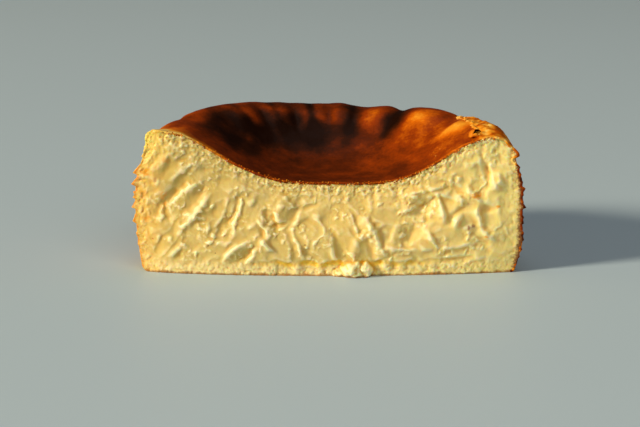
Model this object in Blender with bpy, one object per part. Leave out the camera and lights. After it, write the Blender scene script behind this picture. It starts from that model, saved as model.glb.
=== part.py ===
# Half of a round burnt cheesecake with a sunken top, cut straight through the middle.
# It stands on its flat base: the cut runs along X and faces -Y, the round side faces +Y, Z is up.
# The cake is one baked piece, so it is one solid. All sizes are in metres.

import math
import random

import bmesh
import bpy
from mathutils import Vector, noise

MM = 0.001

# Driving sizes of the baked round
RADIUS = 75.0 * MM  # widest, at the belly of the side
BELLY_HEIGHT = 27.0 * MM
SIDE_DRAW_ABOVE = 5.0 * MM  # how far the side draws in from the belly up to the rim
SIDE_DRAW_BELOW = 2.6 * MM  # and from the belly down to the base
RIM_HEIGHT = 55.2 * MM  # mean height of the rim's crest
RIM_RADIUS = 64.5 * MM  # circle that the crest follows
SHOULDER_HEIGHT = 49.0 * MM  # where the rounded rim turns into the side
DIP_HEIGHT = 34.4 * MM  # thickness at the middle, where the top has sunk
DIP_POWER = 1.7  # higher is a wider flat floor with steeper walls
FOOT_HEIGHT = 3.5 * MM  # where the side turns under
FOOT_RADIUS = 70.4 * MM  # edge of the flat base

# The sunken floor stands a little higher here: place along the cut, spread, lift
FLOOR_SWELLS = (
    (-36.0 * MM, 24.0 * MM, 2.5 * MM),
    (6.0 * MM, 20.0 * MM, 1.1 * MM),
)
FLOOR_EDGE = 56.0 * MM  # from here out to the rim that lift fades

# Where the rim stands higher or lower: degrees round from the cut's right end, spread in degrees, lift
RIM_SWELLS = (
    (0.0, 8.0, -1.6 * MM),
    (50.0, 10.0, 0.7 * MM),
    (76.0, 9.0, -0.9 * MM),
    (128.0, 22.0, 2.6 * MM),
    (168.0, 9.0, -1.1 * MM),
)
RIM_REACH = 13.0 * MM  # how far from its crest a change in the rim's height is felt

# The same for the outer shoulder: worn round at the cut's right end, square at its left end
SHOULDER_SWELLS = (
    (0.0, 9.0, -1.8 * MM),
    (180.0, 8.0, 2.2 * MM),
)
SHOULDER_REACH = 11.5 * MM

# Folds pressed into the rim and side by the baking paper: degrees round from the cut's right end, depth
FOLDS = (
    (36.0, 2.4 * MM),
    (62.0, 2.0 * MM),
    (84.0, 1.1 * MM),
    (97.0, 1.2 * MM),
    (114.0, 1.4 * MM),
    (130.0, 1.0 * MM),
    (153.0, 1.3 * MM),
)
# Notches and small humps that the folds leave in the rim's crest: degrees, depth
RIM_NOTCHES = (
    (36.0, 1.5 * MM),
    (62.0, 1.6 * MM),
    (85.5, -0.5 * MM),
    (97.0, 0.3 * MM),
    (114.0, 0.3 * MM),
    (153.0, 0.4 * MM),
)
FOLD_WIDTH = 3.8 * MM
FOLD_FADE = 38.0 * MM  # how far down the side a fold still shows
SIDE_ROUGHNESS = 0.35 * MM
SIDE_GRAIN = 9.0 * MM

# The cut face: soft custard that has sagged forward and was dragged by the knife
SAG = 7.0 * MM  # furthest the face bulges in front of the knife's plane
SAG_HEIGHT = 10.0 * MM
SAG_SPREAD = 16.0 * MM
SMEAR_SPACING = (11.0 * MM, 8.5 * MM)
SMEAR_LENGTH = (6.5 * MM, 12.0 * MM)
SMEAR_WIDTH = (3.2 * MM, 5.5 * MM)
SMEAR_TILT = 1.6 * MM
SMEAR_SCOOP = 1.1 * MM
SMEAR_LIP = 1.1 * MM
FIRM_EDGE = 6.0 * MM  # the firmer custard next to the skin tears finely instead
CURD_SIZE = 3.2 * MM
CURD_HEIGHT = 0.45 * MM

# The creamy middle hangs over the firm bottom layer in a ragged groove
LEDGE_HEIGHT = 5.6 * MM
LEDGE_WANDER = 0.9 * MM
LEDGE_STEP = 1.5 * MM
LEDGE_SOFTNESS = 1.4 * MM
LEDGE_MIDDLE = 5.0 * MM
LEDGE_SPREAD = 34.0 * MM
LEDGE_RETURN = (-1.5 * MM, 3.0 * MM)  # heights between which the groove comes forward to the foot again

# A soft crumb pushed out at the foot of the cut by the knife's tip
CRUMB_PLACE = (11.0 * MM, 2.0 * MM)
CRUMB_REACH = (7.5 * MM, 3.8 * MM)
CRUMB_DEPTH = 4.6 * MM

# Mesh density
TOP_STEPS = 38  # from the middle of the top out to the rim's shoulder
SIDE_STEPS = 26
FOOT_STEPS = 2
ROUND_STEPS = 46  # round the half circle
SEED = 11
TINY = 1e-6


def clear_scene():
    for old in list(bpy.data.objects):
        bpy.data.objects.remove(old)


def smoothstep(low, high, value):
    t = min(1.0, max(0.0, (value - low) / (high - low)))
    return t * t * (3.0 - 2.0 * t)


def top_height(radius):
    """Height of the sunken top at this distance from the cake's middle, out to the rim."""
    turn = (min(radius, RIM_RADIUS) / RIM_RADIUS) ** DIP_POWER
    return DIP_HEIGHT + (RIM_HEIGHT - DIP_HEIGHT) * math.sin(math.pi / 2 * turn) ** 2


def side_radius(height):
    """Radius of the barrel-shaped side at this height."""
    draw = SIDE_DRAW_ABOVE if height > BELLY_HEIGHT else SIDE_DRAW_BELOW
    return RADIUS - draw * ((height - BELLY_HEIGHT) / BELLY_HEIGHT) ** 2


def floor_swell(x, y):
    """How far the sunken floor is lifted here."""
    total = 0.0
    for place, spread, lift in FLOOR_SWELLS:
        away = math.hypot(x - place, y) / spread
        total += lift * math.exp(-away * away)
    return total * (1.0 - smoothstep(FLOOR_EDGE, RIM_RADIUS, math.hypot(x, y)))


def quarter_round(inner, outer, low, high, start, end):
    """Points on a quarter ellipse, from its highest point (angle 0) to its widest (angle 90)."""
    count = 24
    points = []
    for step in range(count + 1):
        angle = math.radians(start + (end - start) * step / count)
        across = inner + (outer - inner) * math.sin(angle)
        points.append((across, low + (high - low) * math.cos(angle)))
    return points


def spaced(points, steps):
    """The same line with its points moved to even distances along it."""
    lengths = [0.0]
    for (r0, z0), (r1, z1) in zip(points, points[1:]):
        lengths.append(lengths[-1] + math.hypot(r1 - r0, z1 - z0))
    placed = []
    index = 0
    for step in range(steps + 1):
        wanted = lengths[-1] * step / steps
        while index < len(points) - 2 and lengths[index + 1] < wanted:
            index += 1
        span = lengths[index + 1] - lengths[index]
        share = min(1.0, (wanted - lengths[index]) / span)
        (r0, z0), (r1, z1) = points[index], points[index + 1]
        placed.append((r0 + (r1 - r0) * share, z0 + (z1 - z0) * share))
    return placed


def section_parts():
    """The half section as three lines: over the top, down the side and under the foot."""
    shoulder_radius = side_radius(SHOULDER_HEIGHT)
    foot_start = side_radius(FOOT_HEIGHT)
    fine = 60
    over = [(RIM_RADIUS * i / fine, top_height(RIM_RADIUS * i / fine)) for i in range(fine)]
    rim = (RIM_RADIUS, shoulder_radius, SHOULDER_HEIGHT, RIM_HEIGHT)
    over += quarter_round(*rim, 0, 45)
    down = quarter_round(*rim, 45, 90)
    for i in range(1, fine):
        height = SHOULDER_HEIGHT + (FOOT_HEIGHT - SHOULDER_HEIGHT) * i / fine
        down.append((side_radius(height), height))
    foot = (FOOT_RADIUS, foot_start, FOOT_HEIGHT, 0.0)
    down += quarter_round(*foot, 90, 45)
    under = quarter_round(*foot, 45, 0)
    return spaced(over, TOP_STEPS), spaced(down, SIDE_STEPS), spaced(under, FOOT_STEPS)


def add_line(bm, points):
    """Joined edges through (x, z) points in the knife's plane."""
    verts = [bm.verts.new((x, 0.0, z)) for x, z in points]
    return [bm.edges.new(pair) for pair in zip(verts, verts[1:])]


def spin_skin(bm):
    """Turns the half section through 180 degrees about the cake's middle."""
    over, down, under = section_parts()
    edges = add_line(bm, over + down[1:] + under[1:])
    bmesh.ops.spin(
        bm,
        geom=edges + list({v for e in edges for v in e.verts}),
        axis=(0, 0, 1),
        cent=(0, 0, 0),
        angle=math.pi,
        steps=ROUND_STEPS,
        use_duplicate=False,
    )
    bmesh.ops.remove_doubles(bm, verts=bm.verts, dist=TINY)


def on_cut(vert):
    return abs(vert.co.y) < TINY


def cut_walls(bm):
    """The two side edges of the knife's plane, between the shoulder and the foot."""
    lines = section_parts()
    top_corner = lines[0][-1][1]
    foot_corner = lines[1][-1][1]

    def on_wall(vert):
        between = foot_corner - TINY < vert.co.z < top_corner + TINY
        return on_cut(vert) and abs(vert.co.x) > RIM_RADIUS and between

    return [e for e in bm.edges if all(on_wall(v) for v in e.verts)]


def fill_cut_and_base(bm, walls):
    """Closes the foot with one flat face, and the knife's plane with a grid."""
    feet = [v for v in bm.verts if on_cut(v) and v.co.z < TINY]
    ground = bm.edges.new(feet)
    bmesh.ops.subdivide_edges(bm, edges=[ground], cuts=2 * (TOP_STEPS - FOOT_STEPS) - 1)
    rim_of_base = [e for e in bm.edges if all(v.co.z < TINY for v in e.verts)]
    bmesh.ops.contextual_create(bm, geom=rim_of_base)
    bmesh.ops.grid_fill(bm, edges=walls)


def swell(table, angle):
    """Sum of the table's lifts at this angle round the cake."""
    total = 0.0
    for degrees, spread, lift in table:
        away = (math.degrees(angle) - degrees) / spread
        total += lift * math.exp(-away * away)
    return total


def fold_depth(table, angle, radius):
    """How deep the table's folds are at this angle round the cake."""
    depth = 0.0
    for degrees, fold in table:
        away = (angle - math.radians(degrees)) * radius / FOLD_WIDTH
        depth += fold * math.exp(-away * away)
    return depth


def shape_skin(vert):
    """Raises and folds the rim, presses the folds into the side and roughens it."""
    radius = math.hypot(vert.co.x, vert.co.y)
    height = vert.co.z
    if radius < TINY or height < TINY:
        return
    angle = math.atan2(max(0.0, vert.co.y), vert.co.x)
    fold = fold_depth(FOLDS, angle, radius)
    notch = fold_depth(RIM_NOTCHES, angle, radius)
    from_crest = (radius - RIM_RADIUS) / RIM_REACH
    upper = smoothstep(BELLY_HEIGHT, SHOULDER_HEIGHT, height)
    crest = math.exp(-from_crest * from_crest) * upper
    vert.co.z += crest * (swell(RIM_SWELLS, angle) - notch)
    if height > BELLY_HEIGHT:
        vert.co.z += floor_swell(vert.co.x, vert.co.y)
    widest = RADIUS - SIDE_DRAW_ABOVE / 2
    shoulder = smoothstep(widest - SHOULDER_REACH, widest, radius)
    vert.co.z += shoulder * upper * swell(SHOULDER_SWELLS, angle)
    outside = smoothstep(RIM_RADIUS, RADIUS - SIDE_DRAW_ABOVE, radius)
    low = smoothstep(0.0, FOLD_FADE, height)
    rough = SIDE_ROUGHNESS * noise.noise(Vector(vert.co) / SIDE_GRAIN)
    inward = outside * low * (fold + rough)
    vert.co.x -= inward * vert.co.x / radius
    vert.co.y -= inward * vert.co.y / radius


def knife_angle(x, draw):
    """The knife dragged up to the right at the left, down in the middle and across at the right."""
    if x < -RADIUS / 3:
        return math.radians(draw.gauss(48.0, 8.0))
    if x < RADIUS / 4:
        return math.radians(draw.gauss(112.0, 24.0))
    return math.radians(draw.gauss(8.0, 26.0))


def make_smears():
    """Overlapping knife smears, laid in jittered rows over the whole cut."""
    draw = random.Random(SEED)
    step_x, step_z = SMEAR_SPACING
    smears = []
    columns = int(2 * RADIUS / step_x) + 1
    rows = int(RIM_HEIGHT / step_z) + 1
    for column in range(columns):
        for row in range(rows):
            x = -RADIUS + step_x * (column + draw.uniform(0.1, 0.9))
            z = step_z * (row + draw.uniform(0.1, 0.9))
            angle = knife_angle(x, draw)
            smears.append(
                {
                    "centre": (x, z),
                    "along": (math.cos(angle), math.sin(angle)),
                    "length": draw.uniform(*SMEAR_LENGTH),
                    "width": draw.uniform(*SMEAR_WIDTH),
                    "tilt": draw.uniform(-SMEAR_TILT, SMEAR_TILT),
                    "roll": draw.uniform(-SMEAR_TILT, SMEAR_TILT),
                }
            )
    draw.shuffle(smears)
    return smears


def smear_relief(smears, x, z):
    """Height of the smeared custard, each smear laid over those before it."""
    height = 0.0
    for smear in smears:
        dx, dz = x - smear["centre"][0], z - smear["centre"][1]
        ax, az = smear["along"]
        u = (dx * ax + dz * az) / smear["length"]
        v = (dz * ax - dx * az) / smear["width"]
        inside = 1.0 - u * u - v * v
        if inside <= 0.0:
            continue
        facet = smear["tilt"] * u + smear["roll"] * v - SMEAR_SCOOP * inside
        lip = SMEAR_LIP * max(0.0, u) * math.exp(-((inside / 0.3) ** 2))
        weight = smoothstep(0.0, 0.35, inside)
        height += (facet + lip - height) * weight
    return height


def edge_distance(x, z):
    """Rough distance from a point of the cut to the skin over and beside it."""
    over = top_height(abs(x)) + floor_swell(x, 0.0) - z
    beside = side_radius(z) - abs(x)
    return max(0.0, min(over, beside))


def curd_relief(x, z):
    place = Vector((x, z, SEED * MM)) / CURD_SIZE
    return CURD_HEIGHT * noise.fractal(place, 0.8, 2.1, 3)


def sag_relief(x, z):
    across = 1.0 - min(1.0, abs(x) / RADIUS) ** 2
    above = max(0.0, z - SAG_HEIGHT) / SAG_SPREAD
    return SAG * across * math.exp(-above * above)


def ledge_relief(x, z):
    """The groove where the creamy middle hangs over the firm bottom."""
    line = LEDGE_HEIGHT + LEDGE_WANDER * noise.noise(Vector((x / CURD_SIZE / 2, 0, 0)))
    reach = math.exp(-(((x - LEDGE_MIDDLE) / LEDGE_SPREAD) ** 4))
    under = 1.0 - smoothstep(line - LEDGE_SOFTNESS, line + LEDGE_SOFTNESS, z)
    return -LEDGE_STEP * reach * under * smoothstep(*LEDGE_RETURN, z)


def crumb_relief(x, z):
    u = (x - CRUMB_PLACE[0]) / CRUMB_REACH[0]
    v = (z - CRUMB_PLACE[1]) / CRUMB_REACH[1]
    return CRUMB_DEPTH * math.sqrt(max(0.0, 1.0 - u * u - v * v))


def cut_relief(smears, x, z):
    """How far the cut stands in front of the knife's plane."""
    creamy = smoothstep(0.0, 2 * FIRM_EDGE, edge_distance(x, z)) * smoothstep(0.0, FIRM_EDGE, z)
    torn = creamy * smear_relief(smears, x, z) + (1.0 - 0.7 * creamy) * curd_relief(x, z)
    return torn + sag_relief(x, z) + ledge_relief(x, z) + crumb_relief(x, z)


def set_on_origin(bm):
    """Puts the middle of the base's box on the origin."""
    low = [min(v.co[axis] for v in bm.verts) for axis in range(3)]
    high = [max(v.co[axis] for v in bm.verts) for axis in range(3)]
    shift = Vector((-(low[0] + high[0]) / 2, -(low[1] + high[1]) / 2, -low[2]))
    bmesh.ops.translate(bm, verts=bm.verts, vec=shift)


def make_material(name, colour, roughness):
    material = bpy.data.materials.new(name)
    material.use_nodes = True
    shader = material.node_tree.nodes["Principled BSDF"]
    shader.inputs["Base Color"].default_value = (*colour, 1.0)
    shader.inputs["Roughness"].default_value = roughness
    shader.inputs["Metallic"].default_value = 0.0
    material.diffuse_color = (*colour, 1.0)
    return material


def paint_faces(skin):
    """The top is burnt, the side only browned, and the cut and the base are bare custard."""
    for face in skin:
        face.smooth = True
        outside = face.calc_center_median().to_2d().length > RIM_RADIUS
        face.material_index = 2 if outside else 1


def make_cheesecake():
    bm = bmesh.new()
    spin_skin(bm)
    paint_faces(bm.faces)
    walls = cut_walls(bm)
    for vert in bm.verts:
        shape_skin(vert)
    fill_cut_and_base(bm, walls)
    bmesh.ops.recalc_face_normals(bm, faces=bm.faces)
    smears = make_smears()
    for vert in [v for v in bm.verts if on_cut(v)]:
        vert.co.y -= cut_relief(smears, vert.co.x, vert.co.z)
    set_on_origin(bm)
    mesh = bpy.data.meshes.new("cheesecake_half")
    bm.to_mesh(mesh)
    bm.free()
    mesh.materials.append(make_material("baked custard", (0.80, 0.66, 0.34), 0.55))
    mesh.materials.append(make_material("burnt top skin", (0.15, 0.035, 0.006), 0.35))
    mesh.materials.append(make_material("browned side crust", (0.52, 0.20, 0.035), 0.65))
    cake = bpy.data.objects.new("cheesecake_half", mesh)
    bpy.context.scene.collection.objects.link(cake)


clear_scene()
make_cheesecake()
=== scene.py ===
import bisect
import math
import random

import bmesh
import bpy
import numpy as np
from mathutils import Matrix, Vector, noise


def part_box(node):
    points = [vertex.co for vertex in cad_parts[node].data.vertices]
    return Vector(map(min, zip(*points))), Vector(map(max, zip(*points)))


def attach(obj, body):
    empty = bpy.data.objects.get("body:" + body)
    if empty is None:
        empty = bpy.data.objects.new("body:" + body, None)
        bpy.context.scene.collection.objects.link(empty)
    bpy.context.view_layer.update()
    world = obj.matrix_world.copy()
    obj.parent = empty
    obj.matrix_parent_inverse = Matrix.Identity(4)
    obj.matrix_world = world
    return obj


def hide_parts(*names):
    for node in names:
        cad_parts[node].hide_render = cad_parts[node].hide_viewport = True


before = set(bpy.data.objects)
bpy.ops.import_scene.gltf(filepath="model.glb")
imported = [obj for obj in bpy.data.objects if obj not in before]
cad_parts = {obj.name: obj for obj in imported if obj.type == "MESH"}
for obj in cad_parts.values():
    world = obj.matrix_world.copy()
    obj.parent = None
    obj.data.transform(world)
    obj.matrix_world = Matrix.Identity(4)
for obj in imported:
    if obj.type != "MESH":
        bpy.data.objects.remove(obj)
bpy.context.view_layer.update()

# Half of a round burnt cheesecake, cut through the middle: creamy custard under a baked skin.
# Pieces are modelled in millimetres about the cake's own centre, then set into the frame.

mm = 0.001
cakeLow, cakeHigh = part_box("cheesecake_half")
radius = (cakeHigh.x - cakeLow.x) / 2 / mm
cutMiddle = Vector(((cakeLow.x + cakeHigh.x) / 2, cakeHigh.y - radius * mm, 0.0))
print("frame loaded, cake radius", round(radius, 2), "mm")


# The baked form, mm and degrees round from the cut's right end

cake = {
    "bellyHeight": 27.0,
    "drawAbove": 5.0,  # how far the side draws in from the belly up to the rim, and down to the base
    "drawBelow": 2.6,
    "rimHeight": 55.2,
    "rimRadius": 64.5,
    "shoulderHeight": 49.0,
    "dipHeight": 34.4,  # thickness in the middle, where the top has sunk
    "dipPower": 1.7,
    "footHeight": 3.5,
    "footRadius": 70.4,
    "floorSwells": ((-36.0, 24.0, 2.5), (6.0, 20.0, 1.1)),  # along the cut, spread, lift
    "floorEdge": 56.0,
    "rimSwells": (  # angle, spread, lift
        (0.0, 8.0, -1.6),
        (50.0, 10.0, 0.7),
        (76.0, 9.0, -0.9),
        (128.0, 22.0, 2.6),
        (168.0, 9.0, -1.1),
    ),
    "rimReach": 13.0,
    "shoulderSwells": ((0.0, 9.0, -1.8), (180.0, 8.0, 2.2)),
    "shoulderReach": 11.5,
    "folds": ((36.0, 2.4), (62.0, 2.0), (84.0, 1.1), (97.0, 1.2), (114.0, 1.4), (130.0, 1.0), (153.0, 1.3)),
    "foldWidth": 3.8,
    "foldFade": 38.0,
    "notches": ((36.0, 1.5), (62.0, 1.6), (85.5, -0.5), (97.0, 0.3), (114.0, 0.3), (153.0, 0.4)),
}


def smoothStep(low, high, value):
    t = min(1.0, max(0.0, (value - low) / (high - low)))
    return t * t * (3.0 - 2.0 * t)


def fading(row, value):
    # a row says how much there is in full, and between which values it comes in
    amount, low, high = row
    return amount * smoothStep(low, high, value)


def around(spot):
    # degrees round from the cut's right end, and the distance out from the middle
    return math.degrees(math.atan2(max(0.0, spot.y), spot.x)), math.hypot(spot.x, spot.y)


def topHeight(fromMiddle):
    turn = (min(fromMiddle, cake["rimRadius"]) / cake["rimRadius"]) ** cake["dipPower"]
    rise = cake["rimHeight"] - cake["dipHeight"]
    return cake["dipHeight"] + rise * math.sin(math.pi / 2 * turn) ** 2


def sideRadius(height):
    draw = cake["drawAbove"] if height > cake["bellyHeight"] else cake["drawBelow"]
    return radius - draw * ((height - cake["bellyHeight"]) / cake["bellyHeight"]) ** 2


def floorSwell(x, y):
    lift = 0.0
    for place, spread, rise in cake["floorSwells"]:
        away = math.hypot(x - place, y) / spread
        lift += rise * math.exp(-away * away)
    return lift * (1.0 - smoothStep(cake["floorEdge"], cake["rimRadius"], math.hypot(x, y)))


def quarterRound(inner, outer, low, high, start, end):
    points = []
    for step in range(25):
        angle = math.radians(start + (end - start) * step / 24)
        points.append((inner + (outer - inner) * math.sin(angle), low + (high - low) * math.cos(angle)))
    return points


def spaced(points, steps):
    # the same line with its points at even distances
    lengths = [0.0]
    for (r0, z0), (r1, z1) in zip(points, points[1:]):
        lengths.append(lengths[-1] + math.hypot(r1 - r0, z1 - z0))
    placed = []
    for step in range(steps + 1):
        wanted = lengths[-1] * step / steps
        i = min(len(points) - 2, max(0, bisect.bisect_left(lengths, wanted) - 1))
        share = (wanted - lengths[i]) / (lengths[i + 1] - lengths[i])
        (r0, z0), (r1, z1) = points[i], points[i + 1]
        placed.append((r0 + (r1 - r0) * share, z0 + (z1 - z0) * share))
    return placed


def halfSection(topSteps, sideSteps, footSteps):
    # over the sunken top, down the side and under the foot, as three lines
    shoulder = cake["shoulderHeight"]
    foot = cake["footHeight"]
    fine = 80
    over = [(cake["rimRadius"] * i / fine, topHeight(cake["rimRadius"] * i / fine)) for i in range(fine)]
    rim = (cake["rimRadius"], sideRadius(shoulder), shoulder, cake["rimHeight"])
    over += quarterRound(*rim, 0, 45)
    down = quarterRound(*rim, 45, 90)
    for i in range(1, fine):
        height = shoulder + (foot - shoulder) * i / fine
        down.append((sideRadius(height), height))
    under = (cake["footRadius"], sideRadius(foot), foot, 0.0)
    down += quarterRound(*under, 90, 45)
    return spaced(over, topSteps), spaced(down, sideSteps), spaced(quarterRound(*under, 45, 0), footSteps)


def swell(table, angle):
    return sum(lift * math.exp(-(((angle - place) / spread) ** 2)) for place, spread, lift in table)


def foldDepth(table, angle, fromMiddle):
    depth = 0.0
    for place, fold in table:
        away = math.radians(angle - place) * fromMiddle / cake["foldWidth"]
        depth += fold * math.exp(-away * away)
    return depth


def shaped(spot):
    # raises and folds the rim and presses the folds into the side, as the solid does
    angle, fromMiddle = around(spot)
    height = spot.z
    if fromMiddle < 0.01 or height < 0.01:
        return spot
    fold = foldDepth(cake["folds"], angle, fromMiddle)
    notch = foldDepth(cake["notches"], angle, fromMiddle)
    upper = smoothStep(cake["bellyHeight"], cake["shoulderHeight"], height)
    crest = math.exp(-(((fromMiddle - cake["rimRadius"]) / cake["rimReach"]) ** 2)) * upper
    rise = crest * (swell(cake["rimSwells"], angle) - notch)
    if height > cake["bellyHeight"]:
        rise += floorSwell(spot.x, spot.y)
    widest = radius - cake["drawAbove"] / 2
    shoulder = smoothStep(widest - cake["shoulderReach"], widest, fromMiddle)
    rise += shoulder * upper * swell(cake["shoulderSwells"], angle)
    outside = smoothStep(cake["rimRadius"], radius - cake["drawAbove"], fromMiddle)
    inward = outside * smoothStep(0.0, cake["foldFade"], height) * fold
    closer = 1.0 - inward / fromMiddle
    return Vector((spot.x * closer, spot.y * closer, height + rise))


def topPoint(x, y):
    return shaped(Vector((x, y, topHeight(math.hypot(x, y)))))


def spinSection(bm, points, turns):
    # turns the half section through 180 degrees about the cake's middle
    verts = [bm.verts.new((r, 0.0, z)) for r, z in points]
    edges = [bm.edges.new(pair) for pair in zip(verts, verts[1:])]
    bmesh.ops.spin(bm, geom=edges + verts, axis=(0, 0, 1), cent=(0, 0, 0), angle=math.pi, steps=turns)
    bmesh.ops.remove_doubles(bm, verts=bm.verts, dist=0.001)


def onCut(vert):
    return abs(vert.co.y) < 0.001


def outwards(vert):
    # straight out of the surface, or along the knife's plane where the vert is on the cut
    away = vert.normal.copy()
    if onCut(vert):
        away.y = 0.0
        away.normalize()
    return away


def intoFrame(bm, name, material):
    bmesh.ops.scale(bm, verts=bm.verts, vec=(mm, mm, mm))
    bmesh.ops.translate(bm, verts=bm.verts, vec=cutMiddle)
    mesh = bpy.data.meshes.new(name)
    for face in bm.faces:
        face.smooth = True
    bm.to_mesh(mesh)
    bm.free()
    mesh.materials.append(material)
    piece = bpy.data.objects.new(name, mesh)
    bpy.context.scene.collection.objects.link(piece)
    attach(piece, "root")
    return piece


# The cut face

cut = {
    "sag": 7.0,  # how far the soft middle bulges in front of the knife's plane
    "sagHeight": 10.0,
    "sagSpread": 16.0,
    "firmEdge": 5.5,  # next to the skin the custard is firmer and tears finely
    "firmBase": (3.2, 7.8),
    "facetSpacing": (9.0, 7.0),
    "facetLength": (6.0, 13.0),  # half sizes of a patch that the knife smeared flat
    "facetWidth": (3.0, 5.5),
    "facetTilt": 0.5,
    "facetRoll": (0.31, 0.68),  # mean and spread: most patches slope away from the light
    "facetScoop": 0.45,
    "facetBlend": 0.7,  # how much of a patch is spent on sinking into those under it
    "drag": (0.09, 0.6, 9.0),  # fine lines that the blade drew: depth, spacing, length
    "spacing": (7.4, 5.8),
    "length": (1.6, 4.6),  # half sizes of a ridge
    "width": (2.0, 4.4),
    "stand": (0.72, 0.42),  # mean and spread of how far a ridge stands out
    "bolderRight": 0.25,
    "calm": (11.0, -0.2, 0.3, 0.25),  # patches where ridges are low: size, from, to, what is left
    "crest": -0.3,  # where across a ridge its crest is, away from the light
    "steep": 0.6,  # how wide its shaded side is
    "wedge": 0.5,  # how much narrower one end is than the middle
    "ragged": (0.8, 0.45, 2.2),  # how much of a ridge stands: mean, spread, over what length
    "knifeLeft": (50.0, 14.0),  # direction in degrees: mean and spread
    "knifeMiddle": (112.0, 30.0),
    "knifeRight": (6.0, 12.0),
    "knifeTurned": (100.0, 40.0),  # of some marks at the right
    "turnedShare": 0.35,
    "stretch": 4.0,  # marks are looked up by stretches of the cut, and can reach this far past them
    "slack": 3.0,
    "broad": (0.85, 12.0),  # how high, over what length
    "wander": (1.5, 8.5),  # warps the outlines: how far, over what length
    "fray": (0.15, 0.75, 1.7),  # the same where smeared and where torn, and over what length
    "tornPatch": (6.5, -0.05, 0.25),  # where the surface is torn rather than smeared
    "torn": (0.22, 1.6),  # its relief: how high and how large, and so on for the next ones
    "nub": (0.34, 2.1),
    "wisp": (0.04, 0.9),
    "curd": (0.40, 2.3),
    "crumbly": ((0.2, 3.0, 9.0), (0.4, 15.0, 28.0)),  # how much rougher its firm edge is between two heights
    "calmRight": (0.4, 58.0, 66.0, 46.0, 36.0),  # how much calmer at the right end, and low down there
    "pore": (0.26, 1.05),
    "ledgeHeight": 5.6,
    "ledgeWander": ((1.3, 6.0), (0.5, 1.7)),  # how far, over what length
    "ledgeStep": 1.3,
    "ledgeSoftness": 0.9,
    "ledgeGaps": (5.0, -0.4, 0.15),
    "ledgeMiddle": 5.0,
    "ledgeSpread": 30.0,
    "crumbBend": (0.9, 2.4),
    "crumbKnobs": (0.6, 2.0),
    "crumbs": (  # x, z, half width, half height, how far out
        (9.6, 2.0, 5.6, 3.6, 4.4),
        (14.0, 2.6, 3.6, 3.0, 4.6),
        (4.2, 0.8, 3.0, 2.2, 1.6),
    ),
    "bits": (  # coloured bits baked into the custard: x, z, size, how orange or, below nought, how brown
        (56.8, 30.6, 1.5, 1.0), (65.3, 26.2, 0.8, 1.0), (53.9, 18.2, 0.9, -0.8), (55.5, 18.6, 0.8, -0.8),
        (29.0, 36.5, 0.6, 0.9), (60.5, 14.6, 0.7, 0.9), (-67.2, 36.4, 0.8, -0.5), (-40.6, 23.0, 0.35, -1.0),
        (-46.6, 11.5, 0.35, -1.0), (-9.3, 12.3, 0.35, -1.0), (-64.2, 30.0, 1.5, 0.6),
        (-63.5, 26.4, 1.3, 0.6), (-63.2, 44.2, 1.4, 0.5), (-70.9, 39.3, 1.4, 0.8),
        (-71.6, 31.4, 1.2, 0.6), (-70.4, 21.0, 1.3, 0.5),
    ),
    "leftRounding": (60.0, 1.5, 1.6),  # where the cut starts to fall back, how far, and how steeply
    "moreHighUp": (1.6, 36.0, 48.0),
    "tuck": (0.45, 3.2),  # how deep the custard lies under the skin: at the cut and far behind it
    "columns": 230,  # per half, over the top
    "rows": 140,
    "turns": 24,
    "settleRounds": 4,
    "hollowRounds": 26,
    "seed": 5,
}

# The smears that catch the eye, left to right: middle x and z, direction in degrees, half length,
# half width and how far it stands out, or how deep it is scooped where that is below nought
mainSmears = (
    (-65.7, 22.0, 60, 2.6, 1.8, 1.0),
    (-62.5, 25.5, 98, 5.2, 1.1, -1.3),
    (-59.5, 30.0, 50, 9.0, 3.4, -0.9),
    (-57.0, 41.0, 38, 6.5, 3.0, 0.7),
    (-53.0, 24.5, 50, 12.0, 4.6, 1.7),
    (-47.0, 19.2, 42, 9.0, 3.4, 1.6),
    (-45.0, 12.8, 172, 12.0, 2.4, 1.0),
    (-41.0, 26.0, 70, 5.4, 3.0, 0.8),
    (-36.6, 20.4, 58, 5.0, 2.2, 1.3),
    (-33.8, 25.6, 74, 4.6, 1.7, 1.5),
    (-31.0, 32.0, -14, 9.0, 2.6, 0.6),
    (-27.0, 22.8, 62, 6.4, 4.0, 0.9),
    (-24.5, 12.0, -38, 6.0, 2.4, 1.7),
    (-19.3, 19.2, 22, 3.4, 1.4, -1.1),
    (-12.3, 11.4, -64, 6.4, 2.3, 1.7),
    (-13.0, 22.5, 14, 7.0, 3.4, 0.7),
    (-7.8, 26.2, 18, 4.4, 1.1, -0.8),
    (-4.0, 17.0, 104, 6.0, 3.0, 0.8),
    (1.0, 11.0, -68, 5.4, 2.2, 1.4),
    (8.8, 19.6, -66, 7.4, 2.0, 1.7),
    (17.0, 15.6, -62, 10.0, 3.4, 2.1),
    (28.0, 10.2, -8, 8.0, 2.6, 1.0),
    (32.2, 15.8, 12, 4.4, 3.0, -0.9),
    (34.0, 33.2, 6, 19.0, 2.2, 0.9),
    (36.2, 25.8, 62, 5.0, 3.4, -1.3),
    (39.4, 14.2, -56, 4.6, 1.9, 1.5),
    (42.6, 25.6, 98, 7.0, 2.3, 1.9),
    (50.0, 11.8, 5, 11.0, 1.7, 1.0),
    (47.0, 7.8, 4, 12.0, 1.4, 0.7),
    (55.4, 30.0, -46, 5.4, 2.6, 1.6),
    (57.4, 21.2, -60, 4.8, 2.0, 1.6),
    (61.2, 25.4, 5, 3.8, 2.2, -0.8),
    (61.0, 15.0, -42, 4.2, 2.0, 1.4),
    (63.0, 35.0, -62, 4.2, 2.0, 1.4),
    (56.5, 43.0, 28, 4.2, 2.0, 0.7),
)


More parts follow.
